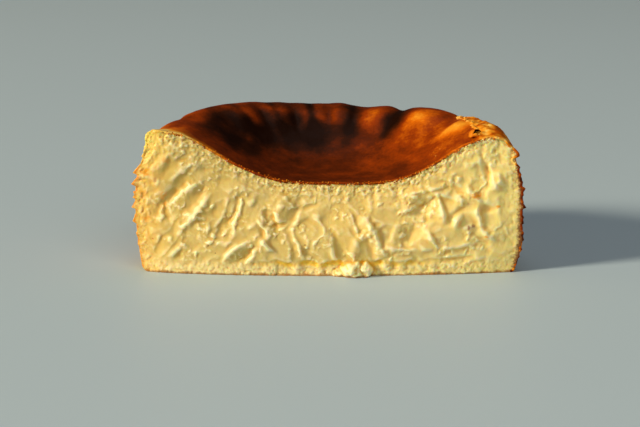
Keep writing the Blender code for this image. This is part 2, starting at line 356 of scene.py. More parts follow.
# Where the paper tore the side. Each flake of skin: height, how far it stands out, its length
# and which way its tip points, 1 for up and -1 for down
flakes = {
    "left": (
        (49.2, 0.5, 2.2, 1), (45.2, 0.7, 3.0, -1), (38.8, 1.9, 3.6, -1), (34.3, 2.1, 2.8, -1),
        (31.6, 1.0, 2.0, 1), (29.0, 1.2, 2.2, -1), (25.2, 1.7, 2.8, -1), (22.4, 0.6, 1.8, 1),
        (19.7, 1.6, 3.2, -1), (15.4, 0.5, 2.4, 1), (10.6, 0.4, 2.2, -1),
    ),
    "right": (
        (45.7, 2.2, 6.0, -1), (41.7, 0.6, 1.7, 1), (38.4, 0.5, 2.2, -1), (35.9, 0.4, 1.6, 1),
        (33.4, 1.4, 1.9, 1), (30.2, 0.5, 1.9, -1), (27.9, 0.4, 1.6, 1), (25.3, 1.4, 2.1, -1),
        (22.1, 0.5, 1.7, 1), (19.2, 0.6, 2.1, -1), (15.9, 0.4, 1.8, 1), (12.5, 0.5, 1.9, -1),
        (9.1, 0.5, 1.7, 1), (5.9, 0.4, 1.6, -1),
    ),
    "steep": 0.16,  # how much shorter a flake's other edge is
    "depth": 1.7,  # how far from the cut the flakes reach round the side
    "swells": {"left": (-1.6, 47.0, 6.0), "right": (0.9, 11.0, 7.0)},  # how far out, height, spread
    "swellDepth": 16.0,  # how far it reaches round the side, and in from its surface
    "swellInside": 8.0,
}


def flakeReach(x, z):
    reach = 0.0
    for height, out, length, way in flakes["right" if x > 0.0 else "left"]:
        fromTip = way * (height - z) / length
        share = 1.0 - fromTip if fromTip >= 0.0 else 1.0 + fromTip / flakes["steep"]
        reach = max(reach, out * share)
    return reach


def flaked(spot, inside):
    # draws the side outwards in flakes, less so further in from its surface or from the cut
    fade = math.exp(-((spot.y / flakes["depth"]) ** 2)) * math.exp(-max(0.0, inside) / flakes["depth"])
    far, height, spread = flakes["swells"]["right" if spot.x > 0.0 else "left"]
    fromSide = max(0.0, sideRadius(spot.z) - math.hypot(spot.x, spot.y))
    swelled = far * math.exp(-(((spot.z - height) / spread) ** 2) - (spot.y / flakes["swellDepth"]) ** 2)
    out = flakeReach(spot.x, spot.z) * fade + swelled * math.exp(-fromSide / flakes["swellInside"])
    return Vector((spot.x + out * math.copysign(1.0, spot.x), spot.y, spot.z))


def lumpy(x, row, z, size):
    # noise in the plane of the cut, another pattern for each row
    return noise.noise(Vector((x, row, z)) / size)


def knifeAngle(x, draw):
    # the knife dragged up to the right at the left, down in the middle and across at the right
    if x < -radius / 3:
        return draw.gauss(*cut["knifeLeft"])
    if x < radius / 4:
        return draw.gauss(*cut["knifeMiddle"])
    return draw.gauss(*cut["knifeTurned" if draw.random() < cut["turnedShare"] else "knifeRight"])


def jitteredRows(draw, spacing):
    stepX, stepZ = spacing
    for column in range(int(2 * radius / stepX) + 2):
        for row in range(int(cake["rimHeight"] / stepZ) + 2):
            x = -radius + stepX * (column + draw.uniform(-0.5, 0.5))
            yield x, stepZ * (row + draw.uniform(-0.5, 0.5))


def makeFacets(draw):
    facets = []
    for x, z in jitteredRows(draw, cut["facetSpacing"]):
        angle = math.radians(knifeAngle(x, draw))
        ca, sa = math.cos(angle), math.sin(angle)
        sizes = (draw.uniform(*cut["facetLength"]), draw.uniform(*cut["facetWidth"]))
        tilt = draw.uniform(-cut["facetTilt"], cut["facetTilt"])
        facets.append((x, z, ca, sa) + sizes + (tilt, draw.gauss(*cut["facetRoll"])))
    draw.shuffle(facets)
    return facets


def makeRidges(draw):
    ridges = []
    size, low, high, left = cut["calm"]
    for x, z in jitteredRows(draw, cut["spacing"]):
        sizes = (draw.uniform(*cut["length"]), draw.uniform(*cut["width"]))
        rough = left + (1.0 - left) * smoothStep(low, high, lumpy(x, 12.0, z, size))
        ridges.append((x, z, knifeAngle(x, draw)) + sizes + (draw.gauss(*cut["stand"]) * rough,))
    marks = []
    for x, z, angle, length, width, stand in ridges + list(mainSmears):
        turn = math.radians(angle)
        bolder = 1.0 + cut["bolderRight"] * smoothStep(0.0, 25.0, x)
        marks.append((x, z, math.cos(turn), math.sin(turn), length, width, stand * bolder))
    return marks


def sortByPlace(marks):
    # which marks can reach each stretch of the cut
    places = {}
    for mark in marks:
        x, reach = mark[0], mark[4] + cut["slack"]
        for key in range(int((x - reach) // cut["stretch"]), int((x + reach) // cut["stretch"]) + 1):
            places.setdefault(key, []).append(mark)
    return places


def makeMarks():
    draw = random.Random(cut["seed"])
    return sortByPlace(makeFacets(draw)), sortByPlace(makeRidges(draw))


def towardsLight(ca, sa, dx, dz, width):
    # distance across a mark, counted towards the light at the upper left
    across = (dz * ca - dx * sa) / width
    return across if sa > -0.1 * ca else -across


def facetHeight(facets, x, z):
    # each patch lies over those before it
    height = 0.0
    depth, spacing, run = cut["drag"]
    for number, (sx, sz, ca, sa, length, width, tilt, roll) in enumerate(facets):
        dx, dz = x - sx, z - sz
        u = (dx * ca + dz * sa) / length
        if abs(u) >= 1.0:
            continue
        t = towardsLight(ca, sa, dx, dz, width)
        inside = 1.0 - u * u - t * t
        if inside <= 0.0:
            continue
        flat = tilt * u + roll * t - cut["facetScoop"] * inside
        flat += depth * noise.noise(Vector((t * width / spacing, u * length / run, number * 3.7)))
        height += (flat - height) * smoothStep(0.0, cut["facetBlend"], inside)
    return height


def ridgeHeight(ridges, x, z):
    # the highest ridge and the deepest scoop count
    ridge = scoop = 0.0
    crest, steep = cut["crest"], cut["steep"]
    for sx, sz, ca, sa, length, width, stand in ridges:
        dx, dz = x - sx, z - sz
        u = (dx * ca + dz * sa) / length
        if abs(u) >= 1.0:
            continue
        t = towardsLight(ca, sa, dx, dz, width * (1.0 - cut["wedge"] * u))
        if abs(t) >= 1.0:
            continue
        ends = 1.0 - u * u
        if stand < 0.0:
            scoop = min(scoop, stand * ends * (1.0 - t * t))
        elif t > crest:
            ridge = max(ridge, stand * ends * ((1.0 - t) / (1.0 - crest)) ** 1.1)
        else:
            ridge = max(ridge, stand * ends * smoothStep(crest - steep, crest, t))
    return ridge, scoop


def tornAt(x, z):
    patch, low, high = cut["tornPatch"]
    return smoothStep(low, high, lumpy(x, 8.0, z, patch))


def warped(x, z, torn):
    far, over = cut["wander"]
    fray, frayTorn, overFray = cut["fray"]
    warp = noise.noise_vector(Vector((x, 3.1, z)) / over) * far
    warp += noise.noise_vector(Vector((x, 9.7, z)) / overFray) * (fray + (frayTorn - fray) * torn)
    return x + warp.x, z + warp.z


def smearHeight(marks, x, z):
    facets, ridges = marks
    px, pz = warped(x, z, tornAt(x, z))
    key = int(px // cut["stretch"])
    ridge, scoop = ridgeHeight(ridges.get(key, ()), px, pz)
    mean, spread, size = cut["ragged"]
    ragged = mean + spread * lumpy(x, 1.3, z, size)
    high, length = cut["broad"]
    broad = high * lumpy(x, 4.0, z, length)
    return facetHeight(facets.get(key, ()), px, pz) + ridge * ragged + scoop + broad


def fleckHeight(x, z):
    # the fine torn flecks on the smears
    torn = tornAt(x, z)
    px, pz = warped(x, z, torn)
    tornHeight, tornSize = cut["torn"]
    nub, nubSize = cut["nub"]
    wisp, wispSize = cut["wisp"]
    height = torn * tornHeight * noise.fractal(Vector((x, 6.0, z)) / tornSize, 0.75, 2.1, 4)
    height += torn * nub * smoothStep(0.1, 0.4, lumpy(px, 2.2, pz, nubSize))
    return height + wisp * noise.fractal(Vector((x, 7.0, z)) / wispSize, 0.8, 2.1, 3)


def skinDistance(x, z):
    return max(0.0, min(topHeight(abs(x)) + floorSwell(x, 0.0) - z, sideRadius(z) - abs(x)))


def crumbHeight(x, z):
    highest = 0.0
    far, over = cut["crumbBend"]
    bend = noise.noise_vector(Vector((x, 5.5, z)) / over) * far
    for cx, cz, wide, tall, out in cut["crumbs"]:
        u = (x + bend.x - cx) / wide
        v = (z + bend.z - cz) / tall
        highest = max(highest, out * max(0.0, 1.0 - u * u - v * v) ** 0.6)
    if highest > 0.0:
        knob, size = cut["crumbKnobs"]
        knobbly = knob * noise.fractal(Vector((x, 1.0, z)) / size, 0.8, 2.1, 3)
        highest += smoothStep(0.0, 1.0, highest) * knobbly
    return highest


def creaminess(x, z):
    # 1 where the custard is soft enough to smear
    return smoothStep(1.0, 2 * cut["firmEdge"], skinDistance(x, z)) * smoothStep(*cut["firmBase"], z)


def cutHeight(marks, x, z):
    # how far the cut stands in front of the knife's plane, and how deep in the groove the point is
    creamy = creaminess(x, z)
    curdHeight, curdSize = cut["curd"]
    poreDepth, poreSize = cut["pore"]
    curd = curdHeight * noise.fractal(Vector((x, 5.0, z)) / curdSize, 0.7, 2.1, 4)
    pore = poreDepth * smoothStep(0.12, 0.42, lumpy(x, 2.0, z, poreSize))
    uneven = 0.8
    for row in cut["crumbly"]:
        uneven += fading(row, z)
    calmer, near, far, above, below = cut["calmRight"]
    uneven *= 1.0 - calmer * smoothStep(near, far, x) * smoothStep(above, below, z)
    torn = creamy * smearHeight(marks, x, z) + (1.0 - 0.85 * creamy) * uneven * (curd - pore)
    start, fall, steepness = cut["leftRounding"]
    fall += fading(cut["moreHighUp"], z)
    torn -= fall * max(0.0, (-x - start) / (radius - start)) ** steepness
    across = 1.0 - min(1.0, abs(x) / radius) ** 2
    above = max(0.0, z - cut["sagHeight"]) / cut["sagSpread"]
    sag = cut["sag"] * across * math.exp(-above * above)
    line = cut["ledgeHeight"]
    for row, (far, over) in enumerate(cut["ledgeWander"]):
        line += far * noise.noise(Vector((x / over, 4.0 * row, 0.0)))
    reach = math.exp(-(((x - cut["ledgeMiddle"]) / cut["ledgeSpread"]) ** 4))
    size, low, high = cut["ledgeGaps"]
    reach *= 0.3 + 0.7 * smoothStep(low, high, noise.noise(Vector((x / size, 6.0, 2.0))))
    under = 1.0 - smoothStep(line - cut["ledgeSoftness"], line + cut["ledgeSoftness"], z)
    ledge = -cut["ledgeStep"] * reach * under * smoothStep(-1.5, 3.0, z)
    crumb = crumbHeight(x, z)
    groove = max(0.0, -ledge - crumb) * smoothStep(line - 2.8, line - 0.7, z)
    return torn + sag + ledge + crumb, groove


def bitAt(x, z):
    # how orange the custard is at a baked-in bit, or below nought how brown
    most = 0.0
    for bitX, bitZ, size, kind in cut["bits"]:
        if abs(x - bitX) < 2 * size and abs(z - bitZ) < 2 * size:
            away = math.hypot(x - bitX, z - bitZ) / size + 0.9 * lumpy(x, 3.0, z, 0.9)
            most += kind * smoothStep(1.2, 0.5, away)
    return most


def averaged(values, pairs, ties, rounds, amount):
    first, second = pairs
    for _ in range(rounds):
        near = np.bincount(first, weights=values[second], minlength=len(values))
        near += np.bincount(second, weights=values[first], minlength=len(values))
        values = values + 0.5 * amount * (near / ties - values)
    return values


def settled(bm, stands, softness, flecks):
    # lets the soft part of the cut sink together under its flecks, and tells how far each point
    # then lies behind the ground round it, mm
    count = len(bm.verts)
    height = np.zeros(count)
    height[list(stands)] = list(stands.values())
    soft = np.zeros(count)
    soft[list(softness)] = list(softness.values())
    joined = [(e.verts[0].index, e.verts[1].index) for e in bm.edges]
    pairs = np.array([p for p in joined if p[0] in stands and p[1] in stands]).T
    ties = np.maximum(np.bincount(pairs[0], minlength=count) + np.bincount(pairs[1], minlength=count), 1)
    height = averaged(height, pairs, ties, cut["settleRounds"], soft)
    height[list(flecks)] += list(flecks.values())
    level = averaged(height, pairs, ties, cut["hollowRounds"], 1.0)
    return height, level - height


# Materials

def linearColour(code):  # an sRGB hex colour, as the linear numbers that shaders use
    parts = [int(code[i:i + 2], 16) / 255 for i in (1, 3, 5)]
    return [c / 12.92 if c <= 0.04045 else ((c + 0.055) / 1.055) ** 2.4 for c in parts] + [1.0]


def addNode(tree, kind, settings, links=None):  # settings name a socket or one of the node's own choices
    node = tree.nodes.new(kind)
    for name, value in settings.items():
        if isinstance(name, str) and hasattr(node, name) and name not in node.inputs:
            setattr(node, name, value)
        else:
            node.inputs[name].default_value = value
    for name, source in (links or {}).items():
        tree.links.new(source, node.inputs[name])
    return node


def startMaterial(name, sockets):
    material = bpy.data.materials.new(name)
    material.use_nodes = True
    shader = material.node_tree.nodes["Principled BSDF"]
    for socket, value in sockets.items():
        shader.inputs[socket].default_value = value
    return material, material.node_tree, shader


def unevenness(tree, place, size, detail, rough, low, high):
    # soft noise between two values, with lumps size mm across
    settings = {"Scale": 1.0 / (size * mm), "Detail": detail, "Roughness": rough}
    lumps = addNode(tree, "ShaderNodeTexNoise", settings, {"Vector": place})
    settings = {"From Min": 0.3, "From Max": 0.7, "To Min": low, "To Max": high}
    return addNode(tree, "ShaderNodeMapRange", settings, {"Value": lumps.outputs["Fac"]}).outputs["Result"]


def roughened(tree, place, value, noises):
    # adds noises to a value: the size of their lumps, detail, roughness and how far they swing
    for size, detail, rough, swing in noises:
        links = {0: value, 1: unevenness(tree, place, size, detail, rough, -swing, swing)}
        value = addNode(tree, "ShaderNodeMath", {"operation": "ADD"}, links).outputs[0]
    return value


def laidOver(tree, ground, reads, layers):
    # lays each colour over those before it. A fade names what it reads, the two values it fades
    # between and how strong the colour is at each. Where a colour has two fades, they multiply.
    mixed = None
    for over, *fades in layers:
        amount = None
        for name, start, end, first, last in fades:
            value, unit = reads[name]
            settings = {"From Min": start * unit, "From Max": end * unit, "To Min": first, "To Max": last}
            fade = addNode(tree, "ShaderNodeMapRange", settings, {"Value": value}).outputs["Result"]
            if amount is not None:
                both = {0: amount, 1: fade}
                fade = addNode(tree, "ShaderNodeMath", {"operation": "MULTIPLY"}, both).outputs[0]
            amount = fade
        settings = {"data_type": "RGBA", 6: linearColour(ground), 7: linearColour(over)}
        links = {0: amount}
        if mixed is not None:
            links[6] = mixed.outputs[2]
        mixed = addNode(tree, "ShaderNodeMix", settings, links)
    return mixed.outputs[2]


def addRelief(tree, place, shader, reliefs):
    # bumps laid over each other: the size of their lumps, detail, roughness, strength and height
    normal = {}
    for size, detail, rough, strength, height in reliefs:
        settings = {"Scale": 1.0 / (size * mm), "Detail": detail, "Roughness": rough}
        lumps = addNode(tree, "ShaderNodeTexNoise", settings, {"Vector": place})
        settings = {"Strength": strength, "Distance": height * mm}
        bump = addNode(tree, "ShaderNodeBump", settings, {"Height": lumps.outputs["Fac"], **normal})
        normal = {"Normal": bump.outputs["Normal"]}
    tree.links.new(normal["Normal"], shader.inputs["Normal"])


custardLook = {
    "light": "#DFCB84",
    "layers": (  # colour, then its fades as laidOver takes them, with places in mm
        ("#D3BC6A", ("cloud", 0.125, 0.875, 0.0, 1.0)),
        # painted light: the band over the base is painted paler against the shade that the ledge casts on it
        ("#F6E6AA", ("z", 3.0, 6.5, 0.75, 0.0)),  # the band over the base
        ("#FFE898", ("x", -20.0, 62.0, 0.0, 0.92)),  # lighter to the right
        # painted light: crests are painted paler as highlight, and hollows golden as the glowing shade in
        # them
        ("#FBF1C4", ("hollow", -0.24, -0.01, 1.0, 0.0)),  # crests
        ("#E2AC3A", ("hollow", 0.03, 0.5, 0.0, 0.85)),
        # painted shade: the groove under the ledge is painted golden, as shade glowing there
        ("#FACC30", ("pocket", 0.05, 0.8, 0.0, 0.8)),  # the groove over the ledge
        # painted glow: golden at the left end, where the light from the left shines through
        ("#FFCA50", ("x", -radius, -radius + 13.0, 0.75, 0.0), ("patches", 0.0, 0.75, 0.3, 1.0)),
        ("#E6C468", ("wavy", 0.6, 3.2, 0.6, 0.0)),  # close to the skin
        ("#D68A22", ("wavy", 0.3, 1.1, 0.9, 0.0)),
        ("#8E5220", ("gritty", 1.2, 2.3, 0.95, 0.0), ("x", radius - 7.5, radius - 5.0, 0.0, 1.0)),
        # painted glow: yellow high up at the left end, where the light shines through
        ("#FFE070", ("x", -radius + 4.0, -radius + 16.0, 1.0, 0.0), ("z", 40.0, 50.0, 0.0, 0.9)),
        ("#4A3A22", ("speck", 0.18, 0.30, 1.0, 0.0), ("speckPick", 0.45, 0.47, 0.0, 0.85)),
        ("#C8761E", ("rust", 0.30, 0.50, 1.0, 0.0), ("rustPick", 0.60, 0.62, 0.0, 0.85)),
        ("#F2A61E", ("bit", 0.0, 1.0, 0.0, 0.95)),
        ("#9E5A22", ("bit", -1.0, 0.0, 0.95, 0.0)),
        ("#AC7434", ("low", 0.3, 1.1, 0.9, 0.0)),  # browned along the base
    ),
    "clouds": (("cloud", 14.0), ("patches", 5.0)),  # size, mm
    "wavers": (("wavy", "inside", 1.5, 0.5), ("gritty", "inside", 0.8, 0.7), ("low", "z", 3.0, 0.6)),
    "specks": (("speck", 9.0), ("rust", 14.0)),  # spacing, mm
    "finish": (3.0, 3.0, 0.55, 0.36, 0.55),  # the noise in its roughness, as unevenness takes it
    "relief": ((0.7, 4.0, 0.65, 0.22, 0.25), (2.5, 3.0, 0.55, 0.25, 0.5)),
    "sockets": {
        "IOR": 1.45,
        "Subsurface Weight": 0.7,
        "Subsurface Radius": (1.0, 0.6, 0.2),
        "Subsurface Scale": 1.9 * mm,
    },
}


def custardMaterial():
    # Baked cream cheese custard: pale, moist and slightly see-through, so pockets glow golden. Light and
    # shade are also painted into it: golden hollows and groove, paler crests, a golden left end.
    look = custardLook
    material, tree, shader = startMaterial("baked custard", look["sockets"])
    place = addNode(tree, "ShaderNodeTexCoord", {}).outputs["Object"]
    spot = addNode(tree, "ShaderNodeSeparateXYZ", {}, {0: place})
    reads = {"x": (spot.outputs["X"], mm), "z": (spot.outputs["Z"], mm)}
    for name in ("pocket", "hollow", "inside", "bit"):
        reads[name] = (addNode(tree, "ShaderNodeAttribute", {"attribute_name": name}).outputs["Fac"], 1.0)
    for name, size in look["clouds"]:
        reads[name] = (unevenness(tree, place, size, 3.0, 0.55, 0.0, 1.0), 1.0)
    for name, waved, size, swing in look["wavers"]:
        value, unit = reads[waved]
        reads[name] = (roughened(tree, place, value, ((size, 3.0, 0.55, swing * unit),)), unit)
    flat = addNode(tree, "ShaderNodeMapping", {"Scale": (1.0, 0.0, 1.0)}, {"Vector": place}).outputs[0]
    for name, spacing in look["specks"]:
        cells = addNode(tree, "ShaderNodeTexVoronoi", {"Scale": 1.0 / (spacing * mm)}, {"Vector": flat})
        reads[name] = (cells.outputs["Distance"], 1.0 / spacing)
        reads[name + "Pick"] = (cells.outputs["Color"], 1.0)
    tree.links.new(laidOver(tree, look["light"], reads, look["layers"]), shader.inputs["Base Color"])
    tree.links.new(unevenness(tree, place, *look["finish"]), shader.inputs["Roughness"])
    addRelief(tree, place, shader, look["relief"])
    return material


skinLook = {
    "stops": (  # burn, colour
        (0.0, "#F0CC70"),
        (0.15, "#EDA02A"),
        (0.32, "#CC6606"),
        (0.48, "#8E3602"),
        (0.65, "#5B2102"),
        (0.82, "#321302"),
        (1.0, "#1C0800"),
    ),
    "blotches": ((7.0, 4.0, 0.55, 0.09), (1.2, 4.0, 0.7, 0.045)),
    "dryLight": "#CE8E48",
    "dryLayers": (("#6A3512", ("amount", 0.25, 0.75, 0.0, 1.0)),),
    "dryShows": (0.25, 1.0, 0.0, 0.8),  # from and to how dry, and how much of the dry colour shows
    "glossy": (4.0, 3.0, 0.55, 0.34, 0.46),  # as the custard's finish
    "dry": 0.62,
    "relief": ((2.2, 5.0, 0.6, 0.3, 0.3),),
    "sockets": {"IOR": 1.2, "Specular IOR Level": 0.3},
}


def skinMaterial():
    # Caramelised skin: sugar and milk browned in a hot oven, glossy on top and dry at the side. Its darkness
    # also holds painted light and shade.
    look = skinLook
    material, tree, shader = startMaterial("caramelised skin", look["sockets"])
    place = addNode(tree, "ShaderNodeTexCoord", {}).outputs["Object"]
    burnAndPaintedLight = addNode(tree, "ShaderNodeAttribute", {"attribute_name": "burnAndPaintedLight"}).outputs["Fac"]
    dry = addNode(tree, "ShaderNodeAttribute", {"attribute_name": "dry"}).outputs["Fac"]
    amount = roughened(tree, place, burnAndPaintedLight, look["blotches"])
    ramp = addNode(tree, "ShaderNodeValToRGB", {}, {"Fac": amount})
    for index, (spot, colour) in enumerate(look["stops"]):
        stop = ramp.color_ramp.elements[index] if index < 2 else ramp.color_ramp.elements.new(spot)
        stop.position = spot
        stop.color = linearColour(colour)
    crust = laidOver(tree, look["dryLight"], {"amount": (amount, 1.0)}, look["dryLayers"])
    settings = dict(zip(("From Min", "From Max", "To Min", "To Max"), look["dryShows"]))
    shows = addNode(tree, "ShaderNodeMapRange", settings, {"Value": dry}).outputs["Result"]
    links = {0: shows, 6: ramp.outputs["Color"], 7: crust}
    colour = addNode(tree, "ShaderNodeMix", {"data_type": "RGBA"}, links).outputs[2]
    tree.links.new(colour, shader.inputs["Base Color"])
    shine = unevenness(tree, place, *look["glossy"])
    rough = addNode(tree, "ShaderNodeMix", {3: look["dry"]}, {0: dry, 2: shine}).outputs[0]
    tree.links.new(rough, shader.inputs["Roughness"])
    addRelief(tree, place, shader, look["relief"])
    return material


# The custard: the whole half cake under its skin, with the knife's smears on the cut

def fillCutAndBase(bm, walls, groundCuts):
    feet = [v for v in bm.verts if onCut(v) and v.co.z < 0.001]
    ground = bm.edges.new(feet)
    bmesh.ops.subdivide_edges(bm, edges=[ground], cuts=groundCuts)
    bmesh.ops.contextual_create(bm, geom=[e for e in bm.edges if all(v.co.z < 0.001 for v in e.verts)])
    bmesh.ops.grid_fill(bm, edges=walls)


def tuckUnderSkin(bm, atCut, farBack):
    # draws the custard in under the skin, more so where the skin hides it
    bm.normal_update()
    for vert in bm.verts:
        if vert.co.z < 0.001:
            continue
        near = atCut * (1.0 - 0.8 * smoothStep(50.0, 62.0, -vert.co.x))
        depth = near + (farBack - near) * smoothStep(0.0, 9.0, vert.co.y)
        vert.co -= outwards(vert) * depth


def makeCustard(material, marks):
    over, down, under = halfSection(cut["columns"], cut["rows"], 3)
    bm = bmesh.new()
    spinSection(bm, over + down[1:] + under[1:], cut["turns"])
    topCorner, footCorner = over[-1][1], down[-1][1]

    def onWall(vert):
        between = footCorner - 0.001 < vert.co.z < topCorner + 0.001
        return onCut(vert) and abs(vert.co.x) > cake["rimRadius"] and between

    walls = [e for e in bm.edges if all(onWall(v) for v in e.verts)]
    bmesh.ops.recalc_face_normals(bm, faces=bm.faces)
    for vert in bm.verts:
        vert.co = shaped(vert.co)
    tuckUnderSkin(bm, *cut["tuck"])
    fillCutAndBase(bm, walls, 2 * (cut["columns"] - 3) - 1)
    bmesh.ops.recalc_face_normals(bm, faces=bm.faces)
    layers = {name: bm.verts.layers.float.new(name) for name in ("pocket", "inside", "hollow", "bit")}
    bm.verts.index_update()
    stands, softness, flecks = {}, {}, {}
    for vert in bm.verts:
        if onCut(vert):
            x, z = vert.co.x, vert.co.z
            stands[vert.index], vert[layers["pocket"]] = cutHeight(marks, x, z)
            vert[layers["inside"]] = skinDistance(x, z)
            vert[layers["bit"]] = bitAt(x, z)
            softness[vert.index] = creaminess(x, z)
            flecks[vert.index] = softness[vert.index] * fleckHeight(x, z)
            vert.co = flaked(vert.co, sideRadius(z) - abs(x))
    height, behind = settled(bm, stands, softness, flecks)
    for vert in bm.verts:
        if vert.index in stands:
            vert[layers["hollow"]] = behind[vert.index]
            vert.co.y -= height[vert.index]
    print("custard", len(bm.verts), "points")
    piece = intoFrame(bm, "custard", material)
    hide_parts("cheesecake_half")


# The skin: one baked sheet over the top and down the side

skin = {
    "thickness": 0.9,
    "turnsDown": (66.0, 72.0),  # how far out the top turns into the side
    "sideSunk": 0.25,
    "sideDryness": (0.75, 1.0, 10.0),  # over that at the cut: how much, and how far behind the cut
    "cutDryness": 0.25,
    "topSteps": 86,
    "sideSteps": 104,
    "footSteps": 5,
    "turns": 220,
    "bumps": (0.45, 11.0),
    "ripples": (0.07, 2.6),
    "sideLumps": (0.45, 4.0),
    "sideGrain": (0.18, 1.3),
    "overhang": 0.2,  # its edge in front of the custard
    "leftBehind": (-0.65, 44.0, 56.0),  # how much further back it is there, and where this comes in
    "rightBehind": (-0.3, 8.0, 24.0),
    "rightCorner": (64.0, 58.0),
    "bareRough": (0.4, 1.5),
    "lobes": ((24.0, 5.0), (48.0, 7.0), (70.0, 6.0), (84.0, 4.5), (97.0, 6.0), (112.0, 6.0), (128.0, 7.0)),
    "lobeHeight": 1.1,
    "lobePlace": (55.0, 6.5),
    # how dark it is, where 0 is pale and 1 is black, from browning and from painted light and shade: mostly
    # how much, and where it comes in
    "topBurn": 0.66,
    "rightPaler": (0.04, -8.0, 26.0),
    # painted light: paler over the left, where the slope of the sunken top lies in shade
    "leftPaintedLight": (0.16, 10.0, 45.0),
    "slope": (16.0, 48.0),  # distance out
    "slopePaler": (0.16, 66.0, 30.0),  # angles
    "slopeDarker": (0.05, 70.0, 110.0),
    # painted highlight: the lobes are paler where light catches them
    "lobeHighlight": 0.24,
    "rimPaler": 0.10,
    "rim": (62.0, 71.0),
    "patchBurn": (0.36, 0.85, 0.9, 7.0),  # how much, least, how uneven and over what size
    "burntPatches": (  # angle, distance out, spread round, spread out
        (122.0, 47.0, 24.0, 10.0),
        (100.0, 45.0, 12.0, 9.0),
        (142.0, 50.0, 16.0, 10.0),
        (81.0, 50.0, 5.0, 12.0),
        (61.0, 57.0, 5.0, 8.0),
    ),
    # painted shade: darker in the creases between the lobes
    "creaseShade": ((61.0, 0.3), (80.5, 0.25), (97.5, 0.35), (113.0, 0.2), (129.0, 0.15)),  # angle, darkness
    "creaseWidth": 1.7,
    "bareBurn": 0.08,
    "sideBurn": 0.40,
    "sideDarker": (0.16, 34.0, 50.0),  # high up
    "sideClouds": (0.22, 9.0),  # how uneven, size
    "sideSpecks": (0.10, 2.5),
    "foldBurn": 0.09,
    "lumpBurn": (0.25, (0.30, 2.2)),  # burn, then how uneven and its size
    "nearBurn": (0.66, (0.5, 1.7)),  # the same just round the corner from the cut at the right
    "endPaler": (0.26, 58.0, 68.0),  # at the left end
    "endDepth": 6.0,
    "cornerPaler": (0.22, 52.0, 64.0),  # distance out
    "corner": (177.0, 11.0),  # angle, spread
    "knifePaler": 0.14,  # along the knife's edge
    "knifePalerLeft": 0.16,
    "leftPart": (1.0, 20.0, 60.0),
    "knifeReach": (1.0, 2.2),  # how far from the edge, and how much further at the left
    "lumpEdge": (56.8, 63.0, 36.0),  # its radius at the cut and at its last angle
    "blisters": (0.75, 3.0),  # on the golden lump at the right: height, size
    "dent": (44.3, 1.3, 1.2),  # where a scrap of skin is missing at the right: height, half height, depth
    "flakeBurn": (0.2, 0.02),  # how much darker the flakes are at the right and at the left
    "leftRim": (0.28, -57.0, 9.0, 11.0),  # golden behind the cut: how much paler, middle, spread, depth
    "bareEnd": (168.0, 63.0),  # beyond this angle and radius the skin is pale, as it stuck to the paper
}


def bumpy(row, spot):
    # a row says how high the bumps stand and their size
    height, size = row
    return height * noise.noise(spot / size)


def blistered(row, spot):
    # the same with finer bumps on the bumps
    height, size = row
    return height * noise.fractal(spot / size, 0.7, 2.1, 3)


def lobeAt(angle, fromMiddle):
    # rounded lobes between the paper's folds, high on the inside of the far rim
    middle, deep = skin["lobePlace"]
    across = math.exp(-(((fromMiddle - middle) / deep) ** 2))
    return across * max(math.exp(-(((angle - place) / wide) ** 4)) for place, wide in skin["lobes"])


def lumpEdge(angle):
    # how far out the golden lump at the right begins
    near, far, last = skin["lumpEdge"]
    return near + (far - near) * (min(angle, last) / last) ** 2


def lumpAt(angle, fromMiddle, height):
    inner = lumpEdge(angle) + 0.9 * noise.noise(Vector((angle / 3.0, 2.0, 5.0)))
    ahead = smoothStep(38.5, 35.5, angle)
    return ahead * smoothStep(inner, inner + 1.0, fromMiddle) * smoothStep(44.0, 47.0, height)


